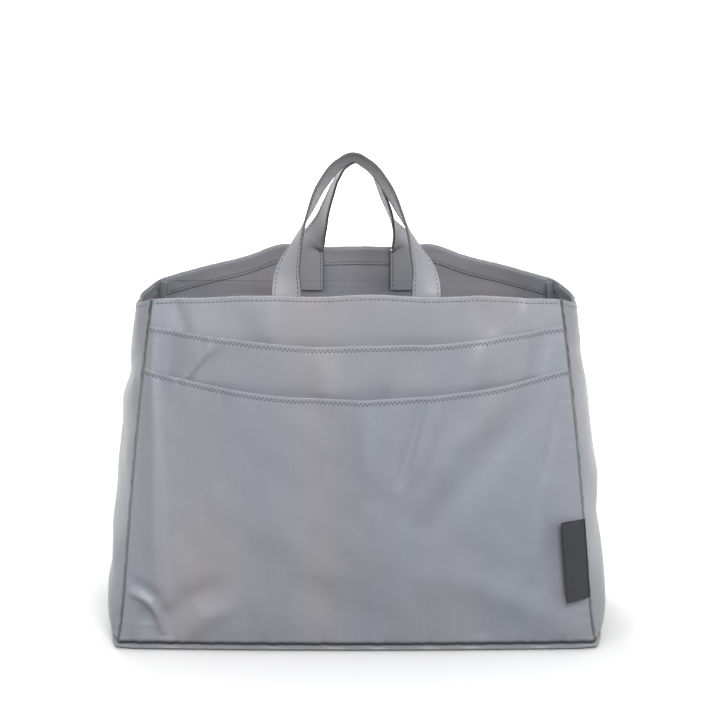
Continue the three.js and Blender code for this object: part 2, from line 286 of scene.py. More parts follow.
def side_rim(u):
    return RIM_HEIGHT - SIDE_RIM_DIP * arch(u)


# Folds in the cloth: points of the line (x, z), half width, height, and how much steeper its left flank is
FOLD_STRENGTH = 1.25
LOWER_FOLDS = [
    ([(-144, 194), (-142, 148), (-142, 98), (-139, 36)], 8, 3.2, 1.8),
    ([(-166, 44), (-156, 42), (-147, 36), (-142, 26), (-139, 15)], 2.8, 2.4, 1.0),
    ([(-165, 52), (-152, 49), (-142, 42), (-136, 26)], 4, -1.5, 1.0),
    ([(-150, 33), (-150, 19)], 6.5, -2.4, 1.0),
    ([(-137, 14), (-129, 29), (-119, 40), (-100, 50)], 8, -2.2, 1.0),
    ([(-118, 12), (-108, 26), (-90, 34)], 7, 1.7, 1.0),
    ([(-27, 198), (-27, 133), (-30, 60)], 21, -4.4, 1.0),
    ([(4, 192), (6, 160), (9, 130)], 8, 2.2, 1.0),
    ([(46, 186), (39, 159), (31, 130)], 4.5, -2.4, 1.5),
    ([(54, 184), (49, 160), (42, 136)], 7, 1.8, 1.0),
    ([(132, 188), (94, 149), (54, 98)], 11, -2.3, 1.0),
    ([(104, 188), (66, 154), (44, 112)], 9, 1.6, 1.0),
    ([(140, 180), (137, 155), (132, 128)], 4, -1.4, 1.0),
    ([(131, 124), (128, 92), (126, 60)], 7, 1.9, 1.0),
    ([(60, 60), (100, 44), (140, 24)], 12, 1.7, 1.0),
    ([(-80, 90), (-40, 46), (10, 22)], 16, -1.7, 1.0),
]
MIDDLE_FOLDS = [
    ([(-144, 232), (-145, 190)], 5, 1.6, 1.3),
    ([(-126, 228), (-136, 196), (-138, 170)], 8, -2.4, 1.0),
    ([(-92, 228), (-110, 214), (-126, 190)], 6, 2.2, 1.0),
    ([(-98, 218), (-114, 200), (-122, 184)], 4, -1.6, 1.0),
    ([(40, 226), (30, 205), (22, 180)], 10, -2.1, 1.0),
    ([(-30, 224), (-20, 200), (-16, 180)], 12, 2.1, 1.0),
    ([(96, 229), (86, 208), (80, 186)], 9, 1.9, 1.0),
    ([(134, 231), (128, 210), (126, 190)], 7, -1.9, 1.0),
]
FRONT_FOLDS = [
    ([(-128, 250), (-124, 236), (-122, 222)], 6, -1.7, 1.0),
    ([(-70, 256), (-66, 240), (-60, 224)], 10, 1.6, 1.0),
    ([(84, 256), (90, 240), (96, 226)], 8, -1.6, 1.0),
    ([(120, 252), (121, 238), (124, 224)], 5, 1.3, 1.0),
]
BACK_FOLDS = [
    ([(150, 36), (118, 60), (60, 66)], 14, -1.6, 1.0),
    ([(-152, 30), (-128, 52), (-110, 90)], 10, -1.5, 1.2),
    ([(-120, 236), (-100, 180), (-96, 120)], 14, 1.8, 1.0),
    ([(38, 240), (24, 190), (20, 130)], 16, -1.8, 1.0),
    ([(-38, 240), (-30, 200), (-10, 150)], 12, 1.3, 1.0),
    ([(120, 238), (126, 190), (130, 140)], 10, 1.6, 1.0),
    ([(-60, 30), (0, 22), (70, 34)], 9, 0.9, 1.0),
]
LEFT_FOLDS = [
    ([(40, 196), (6, 186), (-34, 198)], 9, -1.7, 1.0),
    ([(44, 172), (8, 164), (-36, 178)], 12, 1.2, 1.0),
    ([(2, 244), (4, 214)], 8, -1.8, 1.0),
    ([(-52, 40), (-20, 58), (10, 60)], 11, -1.4, 1.0),
    ([(50, 22), (30, 44), (26, 90)], 10, 1.2, 1.0),
]
RIGHT_FOLDS = [
    ([(-36, 214), (-4, 200), (30, 208)], 10, -1.5, 1.0),
    ([(-50, 130), (-10, 112), (44, 126)], 14, 1.3, 1.0),
    ([(-56, 62), (-24, 84), (8, 92)], 10, -1.3, 1.0),
    ([(0, 244), (-3, 216)], 8, -1.7, 1.0),
    ([(54, 20), (34, 46), (30, 92)], 10, 1.1, 1.0),
]


def folds(a, b, lines):
    total = 0
    for path, width, height, steep in lines:
        total = total + fold(a, b, path, width, height, steep)
    return FOLD_STRENGTH * total


def edge_relief(drop, line):
    """A folded edge: it swells a little above its row of stitches, and the row pulls a shallow groove."""
    return 0.06 * bell(drop - line * 0.42, line * 0.42) - 0.12 * bell(drop - line, 1.0)


def front_ply(slack, rim, stitch_drop, lines, seed):
    """Outer face of a ply of the front: the panel's form, its slack, folds, gathers and turned edges. It
    takes on the outermost ply's folds where it lies close behind it."""
    def surface(u, z):
        x = u * half_width(z)
        side = (1 - np.abs(u)) * half_width(z)
        foot = z - SEAM_HEIGHT
        calm = smooth(side, 0, 16) * smooth(foot, 0, 12)
        out = half_depth(z) + panel_swell(z) * arch(u) + slack(u, z)
        cling = np.exp(-(lower_slack(u, z) - slack(u, z)) / PLY_CLING)
        own = folds(x, z, lines) + cling * folds(x, z, LOWER_FOLDS)
        out = out + own * smooth(side, 0, 9) * smooth(foot, 0, 8)
        out = out + cling * (ripple(x, z, 31, 70, 1.0) + ripple(x, z, 32, 26, 0.3)) * calm
        out = out + (1 - cling) * ripple(x, z, seed, 60, 0.8) * calm
        out = out + pucker(z, side, seed + 2, 0.3) * smooth(foot, 0, 6) + pucker(x, foot, seed + 3, 0.5)
        out = out + edge_relief(rim(u) - z, stitch_drop)
        out = out + pucker(x, rim(u) - z, seed + 4, 0.28, 9) * calm
        out = out - tuck(side) - tuck(foot)
        return points(x, -out, z)
    return surface


def no_slack(u, z):
    return 0 * u * z


def back_surface(u, z):
    """Outer face of the back panel: its form, folds, gathers and turned edges."""
    x = -u * half_width(z)
    side = (1 - np.abs(u)) * half_width(z)
    foot = z - SEAM_HEIGHT
    calm = smooth(side, 0, 16) * smooth(foot, 0, 12)
    out = half_depth(z) + panel_swell(z) * arch(u)
    out = out + folds(x, z, BACK_FOLDS) * smooth(side, 0, 9) * smooth(foot, 0, 8)
    out = out + ripple(x, z, 41, 80, 1.1) * calm + ripple(x, z, 42, 28, 0.3) * calm
    out = out + pucker(z, side, 43, 0.35) * smooth(foot, 0, 6) + pucker(x, foot, 44, 0.5)
    out = out + edge_relief(back_rim(u) - z, RIM_STITCH_DROP) + pucker(x, back_rim(u) - z, 45, 0.3, 9) * calm
    out = out - tuck(side) - tuck(foot)
    return points(x, out, z)


def gusset_surface(sign, lines, seed):
    """Outer face of a gusset: its swell, folds, gathers and turned edges. sign is 1 on the right."""
    def surface(u, z):
        y = sign * u * half_depth(z)
        side = (1 - np.abs(u)) * half_depth(z)
        foot = z - SEAM_HEIGHT
        calm = smooth(side, 0, 14) * smooth(foot, 0, 12)
        out = half_width(z) + gusset_swell(z) * gusset_arch(u, z)
        out = out + folds(y, z, lines) * smooth(side, 0, 9) * smooth(foot, 0, 8)
        out = out + ripple(y, z, seed, 60, 0.6) * calm + ripple(y, z, seed + 1, 22, 0.2) * calm
        out = out + pucker(z, side, seed + 2, 0.35) * smooth(foot, 0, 6) + pucker(y, foot, seed + 3, 0.5)
        out = out + edge_relief(side_rim(u) - z, RIM_STITCH_DROP)
        out = out - tuck(side) - tuck(foot)
        return points(sign * out, y, z)
    return surface


front_surface = front_ply(no_slack, front_rim, RIM_STITCH_DROP, FRONT_FOLDS, 11)
middle_surface = front_ply(middle_slack, middle_hem, HEM_STITCH_DROP, MIDDLE_FOLDS, 21)
lower_surface = front_ply(lower_slack, lower_hem, HEM_STITCH_DROP, [], 31)
left_surface = gusset_surface(-1, LEFT_FOLDS, 51)
right_surface = gusset_surface(1, RIGHT_FOLDS, 61)


# Making meshes

def make_mesh(name, vertices, quads, uv, material, sharp=50, painted_shade=None):
    """A mesh object from arrays: vertices and uv in millimetres, quads (a repeated corner makes a triangle),
    and for each vertex how much painted shade it takes, along a seam's groove or a strap's folded edge, from 0 to 1."""
    mesh = bpy.data.meshes.new(name)
    mesh.vertices.add(len(vertices))
    mesh.vertices.foreach_set("co", (vertices * MM).astype(np.float32).ravel())
    mesh.loops.add(len(quads) * 4)
    mesh.loops.foreach_set("vertex_index", quads.astype(np.int32).ravel())
    mesh.polygons.add(len(quads))
    mesh.polygons.foreach_set("loop_start", np.arange(0, len(quads) * 4, 4, dtype=np.int32))
    mesh.uv_layers.new(name="cloth").data.foreach_set("uv", (uv * MM).astype(np.float32).ravel())
    if painted_shade is not None:
        mesh.attributes.new("painted_shade", "FLOAT", "POINT").data.foreach_set("value", painted_shade.astype(np.float32).ravel())
    mesh.update(calc_edges=True)
    work = bmesh.new()
    work.from_mesh(mesh)
    bmesh.ops.remove_doubles(work, verts=work.verts, dist=1e-7)
    work.to_mesh(mesh)
    work.free()
    mesh.polygons.foreach_set("use_smooth", np.ones(len(mesh.polygons), bool))
    mesh.set_sharp_from_angle(angle=math.radians(sharp))
    mesh.materials.append(material)
    piece = bpy.data.objects.new(name, mesh)
    bpy.context.scene.collection.objects.link(piece)
    return piece


def running_length(loops):
    """Distance run along the first axis, at the middle of the second, starting from zero."""
    steps = np.linalg.norm(np.diff(loops, axis=0), axis=-1).mean(axis=1)
    return np.concatenate([[0], np.cumsum(steps)])


def skin(name, loops, material, closed=False, sharp=50, painted_shade=None):
    """A closed solid through loops[station, point]. Each loop closes on itself, and the ends are closed by
    quads between the two halves of the end loops, or the last loop meets the first where closed."""
    count, around = loops.shape[:2]
    station, point = np.meshgrid(np.arange(count if closed else count - 1), np.arange(around), indexing="ij")
    corner_station = np.stack([station, station + 1, station + 1, station], axis=-1)
    corner_point = np.stack([point, point, point + 1, point + 1], axis=-1)
    quads = (corner_station % count) * around + corner_point % around
    along = running_length(np.concatenate([loops, loops[:1]]))
    across = running_length(np.swapaxes(np.concatenate([loops, loops[:, :1]], axis=1), 0, 1))
    uv = np.stack([along[corner_station], across[corner_point]], axis=-1).reshape(-1, 4, 2)
    quads = quads.reshape(-1, 4)
    if not closed:
        half = np.arange(around // 2 - 1)
        ladder = np.stack([half, half + 1, around - 2 - half, around - 1 - half], axis=-1)
        rungs = np.stack([0 * ladder, np.where(ladder < around // 2, 0, 1)], axis=-1)
        cap_uv = np.stack([rungs[..., 1], across[np.minimum(ladder, around - 1 - ladder)]], axis=-1)
        last = (count - 1) * around + ladder[:, ::-1]
        quads = np.concatenate([quads, ladder, last])
        uv = np.concatenate([uv, cap_uv, cap_uv[:, ::-1]])
    return make_mesh(name, loops.reshape(-1, 3), quads, uv, material, sharp, painted_shade)


def grid_normal(grid):
    """Outward unit normal of grid[column, row]: across the columns crossed with up the rows."""
    return unit(np.cross(np.gradient(grid, axis=0), np.gradient(grid, axis=1)))


def ply_loops(surface, low, high, columns, rows, thickness, inset=0.0, round_steps=5):
    """Loops of a ply of cloth, one for each column: up its outer face, over a round top edge, and down its
    inner face. thickness(u, z, drop) is its thickness at that drop below the top edge."""
    u = columns[:, None]
    foot, top = low(u), high(u)
    z = foot + (top - foot) * rows[None, :]
    face = surface(u, z)
    normal = grid_normal(face)
    thick = thickness(u, z, top - z)[..., None]
    outer = face - normal * inset
    inner = outer - normal * thick
    edge_normal, edge_thick = normal[:, -1:], thick[:, -1:]
    up = unit(outer[:, -1:] - outer[:, -2:-1])
    turn = np.linspace(0, np.pi, round_steps + 2)[1:-1][None, :, None]
    over = outer[:, -1:] - edge_normal * edge_thick / 2
    over = over + edge_thick / 2 * (edge_normal * np.cos(turn) + up * np.sin(turn))
    return np.concatenate([outer, over, inner[:, ::-1]], axis=1)


def columns_of(count):
    """Values of u crowded towards both side seams, where the cloth turns in."""
    t = np.linspace(-1, 1, count)
    return np.sign(t) * (1 - (1 - np.abs(t)) ** 1.35)


def rows_of(count):
    """Shares of the height crowded towards the foot and the top edge."""
    t = np.linspace(0, 1, count)
    return t - 0.13 * np.sin(2 * np.pi * t) * 0.95


def cloth_thickness(thick, hem=0.0, doubled=0.0):
    """Thickness of a ply that is pressed thin at its side seams and doubled above the foot of its hem."""
    def value(u, z, drop):
        side = (1 - np.abs(u)) * half_width(z)
        pressed = mix(0.45, 1.0, smooth(side, 0, 5))
        return thick * pressed * (1 + doubled * (1 - smooth(drop, hem - 0.6, hem + 0.6)))
    return value


# Materials

def new_material(name):
    material = bpy.data.materials.new(name)
    material.use_nodes = True
    nodes, links = material.node_tree.nodes, material.node_tree.links
    return material, nodes, links, nodes["Principled BSDF"]


def math_node(nodes, links, operation, *values):
    node = nodes.new("ShaderNodeMath")
    node.operation = operation
    for socket, value in zip(node.inputs, values):
        if hasattr(value, "is_output"):
            links.new(value, socket)
        else:
            socket.default_value = value
    return node.outputs[0]


def noise(nodes, links, coordinates, scale, detail=2.0, stretch=(1, 1, 1)):
    """Noise of the coordinates, stretched along the axes given, from 0 to 1 about 0.5."""
    mapping = nodes.new("ShaderNodeMapping")
    mapping.inputs["Scale"].default_value = stretch
    links.new(coordinates, mapping.inputs["Vector"])
    texture = nodes.new("ShaderNodeTexNoise")
    texture.inputs["Scale"].default_value = scale
    texture.inputs["Detail"].default_value = detail
    links.new(mapping.outputs[0], texture.inputs["Vector"])
    return texture.outputs["Fac"]


def colour_mix(nodes, links, factor, first, second, blend="MIX"):
    node = nodes.new("ShaderNodeMix")
    node.data_type = "RGBA"
    node.blend_type = blend
    for socket, value in ((node.inputs[0], factor), (node.inputs[6], first), (node.inputs[7], second)):
        if hasattr(value, "is_output"):
            links.new(value, socket)
        elif socket.type == "RGBA":
            socket.default_value = (*value, 1)
        else:
            socket.default_value = value
    return node.outputs[2]


def bump(nodes, links, height, distance, strength=1.0, under=None):
    node = nodes.new("ShaderNodeBump")
    node.inputs["Distance"].default_value = distance
    node.inputs["Strength"].default_value = strength
    links.new(height, node.inputs["Height"])
    if under is not None:
        links.new(under, node.inputs["Normal"])
    return node.outputs["Normal"]


def weave(nodes, links, pitch_across, pitch_up, slant=0.0):
    """A plain weave: one sine across the cloth times one up it. slant shears it into a twill."""
    uv = nodes.new("ShaderNodeUVMap")
    uv.uv_map = "cloth"
    split = nodes.new("ShaderNodeSeparateXYZ")
    links.new(uv.outputs[0], split.inputs[0])
    lean = math_node(nodes, links, "MULTIPLY", split.outputs[1], slant)
    across = math_node(nodes, links, "ADD", split.outputs[0], lean)
    turn_across = math_node(nodes, links, "MULTIPLY", across, 2 * math.pi / (pitch_across * MM))
    turn_up = math_node(nodes, links, "MULTIPLY", split.outputs[1], 2 * math.pi / (pitch_up * MM))
    wave_across = math_node(nodes, links, "SINE", turn_across)
    wave_up = math_node(nodes, links, "SINE", turn_up)
    return math_node(nodes, links, "MULTIPLY", wave_across, wave_up), uv.outputs[0]


# Painted shade along seams and strap edges: how far the colour goes towards its dark tint, and that tint as a share of
# the cool tint; then the depth of the painted sheen streaks.
PAINTED_SHADE_STRENGTH = 0.97
PAINTED_SHADE_TONE = 0.04
PAINTED_SHEEN_DEPTH = 0.12
WEAVE_DEPTH = 0.00001
CRINKLE_DEPTH = 0.0006


def woven(name, cool, warm, roughness, pitch, crinkle=0.5, sheen=0.1, slant=0.0, streak=0.05, rib=1.0):
    """Woven cloth: two tints that drift into each other, darker and lighter threads, upright streaks of painted sheen,
    painted shade along its seams and strap edges, rubbed patches in the gloss, a weave in the bump and a fine crinkle
    under it."""
    material, nodes, links, shader = new_material(name)
    place = nodes.new("ShaderNodeTexCoord").outputs["Object"]
    height, uv = weave(nodes, links, pitch, pitch * rib, slant)
    patches = noise(nodes, links, place, 12, 1.5, (1, 1, 0.38))
    drift = math_node(nodes, links, "MULTIPLY_ADD", patches, 2.0, -0.5)
    # Painted sheen: upright streaks, lighter and darker, that stand for the satin's sheen along its folds.
    painted_sheen_streaks = noise(nodes, links, place, 30, 2.0, (1, 1, 0.12))
    threads_up = noise(nodes, links, uv, 420, 1.0, (1, 0.03, 1))
    threads_across = noise(nodes, links, uv, 420, 1.0, (0.03, 1, 1))
    tint = colour_mix(nodes, links, drift, warm, cool)
    threads = math_node(nodes, links, "ADD", threads_up, threads_across)
    even = math_node(nodes, links, "MULTIPLY_ADD", threads, streak, 1 - streak - PAINTED_SHEEN_DEPTH / 2)
    shade = math_node(nodes, links, "MULTIPLY_ADD", painted_sheen_streaks, PAINTED_SHEEN_DEPTH, even)
    split = nodes.new("ShaderNodeCombineXYZ")
    for socket in split.inputs:
        links.new(shade, socket)
    colour = colour_mix(nodes, links, 1.0, tint, split.outputs[0], "MULTIPLY")
    # Painted shade: where the mesh's attribute is high, along the grooves of seams and the strap's folded edges, the
    # colour goes most of the way to a very dark tint.
    painted_shade = nodes.new("ShaderNodeAttribute")
    painted_shade.attribute_name = "painted_shade"
    sunk = math_node(nodes, links, "MULTIPLY", painted_shade.outputs["Fac"], PAINTED_SHADE_STRENGTH)
    dark = tuple(channel * PAINTED_SHADE_TONE for channel in cool)
    links.new(colour_mix(nodes, links, sunk, colour, dark), shader.inputs["Base Color"])
    rubbed = noise(nodes, links, place, 38, 3.0)
    gloss = math_node(nodes, links, "MULTIPLY_ADD", rubbed, 0.12, roughness - 0.06)
    links.new(gloss, shader.inputs["Roughness"])
    shader.inputs["Sheen Weight"].default_value = sheen
    shader.inputs["Sheen Roughness"].default_value = 0.4
    fine = noise(nodes, links, place, 95, 4.0)
    crinkled = bump(nodes, links, fine, CRINKLE_DEPTH, crinkle)
    links.new(bump(nodes, links, height, WEAVE_DEPTH, 0.5, crinkled), shader.inputs["Normal"])
    return material


nylon = woven("satin_nylon", (0.280, 0.306, 0.358), (0.352, 0.338, 0.360), 0.38, 0.45, sheen=0.08, streak=0.04)
strap_nylon = woven("strap_nylon", (0.295, 0.315, 0.358), (0.350, 0.340, 0.360), 0.46, 0.5, crinkle=0.35)
lining = woven("lining_cloth", (0.265, 0.283, 0.322), (0.305, 0.298, 0.315), 0.6, 0.5, sheen=0.05)
twill_tape = woven("twill_tape", (0.205, 0.215, 0.240), (0.240, 0.240, 0.255), 0.8, 1.1, 0.3, 0.05, 0.8)
elastic_braid = woven("elastic_braid", (0.270, 0.285, 0.310), (0.300, 0.300, 0.320), 0.8, 0.9, 0.3, 0.05, 0, 0.1, 3.0)
ribbon = woven("label_ribbon", (0.030, 0.031, 0.038), (0.042, 0.042, 0.049), 0.78, 0.6, 0.25, 0.0, 0, 0.12, 0.6)
board = woven("stiff_board", (0.150, 0.152, 0.160), (0.175, 0.175, 0.180), 0.6, 1.6, 0.2, 0.0)
thread = woven("sewing_thread", (0.075, 0.080, 0.098), (0.100, 0.099, 0.110), 0.6, 0.4, 0.2, 0.05)
pale_thread = woven("pale_thread", (0.230, 0.245, 0.285), (0.280, 0.275, 0.295), 0.6, 0.4, 0.2, 0.05)


# Shell, pockets and trim

def place(piece, slot, *replaced, body="bag"):
    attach(piece, body)
    if replaced:
        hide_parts(*replaced)
    return piece


def seam_foot(u):
    return SEAM_HEIGHT + 0 * u


def painted_seam_shade(columns, loops, half):
    """Painted shade along a side seam or the base seam: 1 on the outside of the seam and none away from it; a
    flat-topped bell, of the fourth power of the distance across the flat panel from the nearer one, before its edge is
    turned in."""
    z = loops[..., 2]
    side = (1 - np.abs(columns))[:, None] * half(z)
    foot = z - SEAM_HEIGHT
    outside = np.arange(loops.shape[1]) < loops.shape[1] // 2
    return outside * np.maximum(np.exp(-(side / PAINTED_SHADE_WIDTH) ** 4), np.exp(-(foot / PAINTED_FOOT_SHADE_WIDTH) ** 4))


def add_ply(name, surface, rim, half, size, thick, hem, node):
    columns = columns_of(size[0])
    loops = ply_loops(surface, seam_foot, rim, columns, rows_of(size[1]), cloth_thickness(thick, hem, 0.6))
    return place(skin(name, loops, nylon, painted_shade=painted_seam_shade(columns, loops, half)), "nylon", node)


SHELL_PLY = SHELL_CLOTH * 0.8
POCKET_PLY = POCKET_CLOTH * 0.7
add_ply("front_panel_cloth", front_surface, front_rim, half_width, (150, 90), SHELL_PLY, 11, "front_panel")
add_ply("back_panel_cloth", back_surface, back_rim, half_width, (180, 120), SHELL_PLY, 11, "back_panel")
add_ply("left_gusset_cloth", left_surface, side_rim, half_depth, (84, 120), SHELL_PLY, 11, "left_gusset")
add_ply("right_gusset_cloth", right_surface, side_rim, half_depth, (84, 120), SHELL_PLY, 11, "right_gusset")
add_ply("middle_pocket_cloth", middle_surface, middle_hem, half_width, (190, 130), POCKET_PLY, 7, "middle_pocket")
add_ply("lower_pocket_cloth", lower_surface, lower_hem, half_width, (240, 150), POCKET_PLY, 7, "lower_pocket")


def add_tape(name, surface, top, height, inset, thick, trim, half, material, slot, node, columns=70):
    """A tape that lies flat behind a ply: between top - height and top, inset from the outer face."""
    reach = 1 - trim / half(top(np.zeros(1))[0])
    u = np.linspace(-reach, reach, columns)
    loops = ply_loops(surface, lambda u: top(u) - height, top, u, np.linspace(0, 1, 9),
                      lambda u, z, drop: thick + 0 * u * z, inset)
    return place(skin(name, loops, material), slot, node)


def lowered(rim, drop):
    return lambda u: rim(u) - drop


for side, surface, rim, half in (("front", front_surface, front_rim, half_width),
                                 ("back", back_surface, back_rim, half_width),
                                 ("left", left_surface, side_rim, half_depth),
                                 ("right", right_surface, side_rim, half_depth)):
    add_tape(f"{side}_mouth_facing_tape", surface, lowered(rim, FACING_DROP), FACING_HEIGHT,
             SHELL_CLOTH + CLEARANCE * 1.2, TAPE, FACING_REACH, half, lining, "tape", f"{side}_mouth_facing")

for name, surface, rim in (("middle_pocket", middle_surface, middle_hem), ("lower_pocket", lower_surface, lower_hem)):
    add_tape(f"{name}_elastic_tape", surface, lowered(rim, ELASTIC_DROP), ELASTIC_WIDTH,
             POCKET_CLOTH + CLEARANCE, TAPE, ELASTIC_TRIM, half_width, elastic_braid, "elastic", f"{name}_elastic", 120)


def rounded_bar(width, thickness, count=8):
    """Outline of a flat bar with half-round edges, as (across, through), even in count on both faces."""
    r = thickness / 2
    turn = np.linspace(-np.pi / 2, np.pi / 2, 5)
    face = np.linspace(-width / 2 + r, width / 2 - r, count)[1:-1]
    upper = np.stack([face, np.full_like(face, r)], axis=-1)
    right = np.stack([width / 2 - r + r * np.cos(turn[::-1]), r * np.sin(turn[::-1])], axis=-1)
    lower = np.stack([face[::-1], np.full_like(face, -r)], axis=-1)
    left = np.stack([-width / 2 + r - r * np.cos(turn), r * np.sin(turn)], axis=-1)
    return np.concatenate([upper, right, lower, left])


def add_corner_binding(name, sign_x, sign_y):
    """The bound seam allowance up a corner: a round-edged bar that stands into the bag and waves a little."""
    z = np.linspace(SEAM_HEIGHT + BINDING_WIDTH + CLEARANCE, RIM_HEIGHT - FACING_DROP, 70)
    corner = points(sign_x * half_width(z), sign_y * half_depth(z), z)
    inward = unit(np.array([-sign_x, -sign_y, 0.0]))
    across = np.array([-inward[1], inward[0], 0.0])
    section = rounded_bar(BINDING_WIDTH, BINDING_THICKNESS * 0.8)
    start = SHELL_CLOTH + CLEARANCE + BINDING_THICKNESS / 2 + BINDING_WIDTH / 2
    wave = ripple(z, 0 * z, 71 + sign_x + 2 * sign_y, 45, 0.35)[:, None, None]
    reach = section[None, :, :1] + start
    loops = corner[:, None, :] + reach * inward + (section[None, :, 1:] + wave * (reach - start + 4) / 4) * across
    return place(skin(name, loops[:, ::-1], twill_tape), "tape", name.replace("_tape", ""))


for end, sign_y in (("front", -1), ("back", 1)):
    for hand, sign_x in (("left", -1), ("right", 1)):
        add_corner_binding(f"{end}_{hand}_seam_binding_tape", sign_x, sign_y)


# Base

def outline(inset, level=SEAM_HEIGHT, steps=56):
    """The shell's plan at a level, set in from it: front, right, back and left walls in turn."""
    u = np.linspace(-1, 1, steps, endpoint=False)
    width, depth = half_width(level), half_depth(level)
    front = points(u * width, -(depth + panel_swell(level) * arch(u)), 0)
    right = points(width + gusset_swell(level) * gusset_arch(u, level), u * depth, 0)
    plan = np.concatenate([front, right, -front, -right])
    return plan * [1 - inset / width, 1 - inset / depth, 1]


def base_section():
    """Rings of the base panel: from the middle of its underside, round its soft edge to the seam, and back
    over its upper face. Each ring is (inset, height); the middle ring closes on the centre."""
    edge = [(40, 0), (20, 0), (EDGE_WIDTH + 2, 0), (EDGE_WIDTH - 2, 0), (3, 0.1), (1.6, 0.4), (0.5, 0.9), (-0.3, 1.7),
            (-0.6, 2.6), (-0.2, 3.5), (0.8, 4.3), (2.2, 4.7)]
    back = [(3.6, 4.1), (3.8, 3.2), (4.8, 2.1), (6.4, 1.35), (EDGE_WIDTH + 2, 1.1), (20, 1.0), (40, 1.0)]
    rings = [points(0 * outline(0)[:, 0], 0 * outline(0)[:, 0], 0)]
    for inset, height in edge + back:
        ring = outline(inset)
        ring[:, 2] = height
        rings.append(ring)
    rings.append(points(0 * ring[:, 0], 0 * ring[:, 0], 1.0))
    return np.array(rings)


def add_base_panel():
    rings = base_section()
    around = np.arange(rings.shape[1])
    wobble = pucker(around * 4.0, 0, 81, 0.28)[None, :]
    weight = bell(rings[..., 2] - 3.2, 2.0) * (rings[..., 2] > 0.3)
    out = unit(outline(0))
    rings = rings + (wobble * weight)[..., None] * out[None]
    u = np.clip(rings[..., 0] / half_width(SEAM_HEIGHT), -1, 1)
    on_front = (rings[..., 1] < -half_depth(SEAM_HEIGHT) + 4) * smooth(1 - np.abs(u), 0, 0.07)
    rings[..., 1] -= FRONT_ROLL * on_front * bell(rings[..., 2] - 1.8, 1.8) * (rings[..., 2] > 0)
    count = rings.shape[1]
    row, column = np.meshgrid(np.arange(rings.shape[0] - 1), np.arange(count), indexing="ij")
    rows = np.stack([row, row, row + 1, row + 1], axis=-1)
    columns = np.stack([column, column + 1, column + 1, column], axis=-1)
    quads = (rows * count + columns % count).reshape(-1, 4)[:, ::-1]
    uv = rings.reshape(-1, 3)[quads][..., :2]
    # Painted shade along the base seam, where the base panel's edge meets the walls.
    painted_shade = bell(rings[..., 2] - SEAM_HEIGHT, 0.45)
    piece = make_mesh("base_panel_cloth", rings.reshape(-1, 3), quads, uv, nylon, painted_shade=painted_shade)
    return place(piece, "nylon", "base_panel")


def flat_plate(name, inset, low, high, material, seed=None):
    """A plate in the base's plan with a rounded edge, from rings out from its middle and back."""
    radius = (high - low) / 2
    middle = (high + low) / 2
    turn = np.linspace(-np.pi / 2, np.pi / 2, 7)
    shares = [60, 40, 20, 8, 3]
    rings = [outline(inset + s) + [0, 0, low] for s in shares]
    rings += [outline(inset + radius * (1 - math.cos(t))) + [0, 0, middle + radius * math.sin(t)] for t in turn]
    rings += [outline(inset + s) + [0, 0, high] for s in shares[::-1]]
    centre = 0 * rings[0]
    rings = np.array([centre + [0, 0, low]] + rings + [centre + [0, 0, high]])
    if seed is not None:
        top = rings[..., 2] > high - 0.05
        rings[..., 2] += np.where(top, ripple(rings[..., 0], rings[..., 1], seed, 70, 0.3), 0)
    count = rings.shape[1]
    row, column = np.meshgrid(np.arange(len(rings) - 1), np.arange(count), indexing="ij")
    rows = np.stack([row, row + 1, row + 1, row], axis=-1)
    columns = np.stack([column, column, column + 1, column + 1], axis=-1)
    quads = (rows * count + columns % count).reshape(-1, 4)[:, ::-1]
    return make_mesh(name, rings.reshape(-1, 3), quads, rings.reshape(-1, 3)[quads][..., :2], material)


add_base_panel()
place(flat_plate("base_stiffener", BOARD_INSET, 1.7, BOARD_TOP, board), "board", "base_board")
place(flat_plate("base_lining_cloth", BOARD_INSET - CLEARANCE, 4.5, 5.4, lining, 83), "lining", "base_lining")


def add_base_binding():
    """The bound seam allowance round the base: a bar on edge that follows the walls."""
    level = np.array([SEAM_HEIGHT + 0.4, SEAM_HEIGHT + BINDING_WIDTH])
    inset = SHELL_CLOTH + 3 * CLEARANCE + BINDING_THICKNESS / 2
    foot, head = outline(inset, level[0]), outline(inset, level[1])
    foot[:, 2], head[:, 2] = level
    centre, up = (foot + head) / 2, unit(head - foot)
    along = unit(np.roll(centre, -1, axis=0) - np.roll(centre, 1, axis=0))
    outward = np.cross(along, up)
    section = rounded_bar(level[1] - level[0], BINDING_THICKNESS * 0.8)
    loops = centre[:, None] + section[None, :, :1] * up[:, None] - section[None, :, 1:] * outward[:, None]
    return place(skin("base_seam_binding_tape", loops[:, ::-1], twill_tape, closed=True), "tape", "base_seam_binding")


add_base_binding()


# Handles

def smooth_path(knots, count):
    """A curve through knots: cubic pieces whose slopes are those of the parabola through each three knots."""
    knots = np.array(knots, float)
    steps = np.linalg.norm(np.diff(knots, axis=0), axis=1)
    t = np.concatenate([[0], np.cumsum(steps)])
    chord = np.diff(knots, axis=0) / steps[:, None]
    inner = (chord[:-1] * steps[1:, None] + chord[1:] * steps[:-1, None]) / (steps[:-1] + steps[1:])[:, None]
    slope = np.concatenate([chord[:1], inner, chord[-1:]])
    at = np.linspace(0, t[-1], count)
    index = np.clip(np.searchsorted(t, at, side="right") - 1, 0, len(steps) - 1)
    h = steps[index][:, None]
    s = ((at - t[index]) / steps[index])[:, None]
    a, b = knots[index], knots[index + 1]
    return (a * (1 + 2 * s) * (1 - s) ** 2 + slope[index] * h * s * (1 - s) ** 2
            + b * s * s * (3 - 2 * s) + slope[index + 1] * h * s * s * (s - 1))


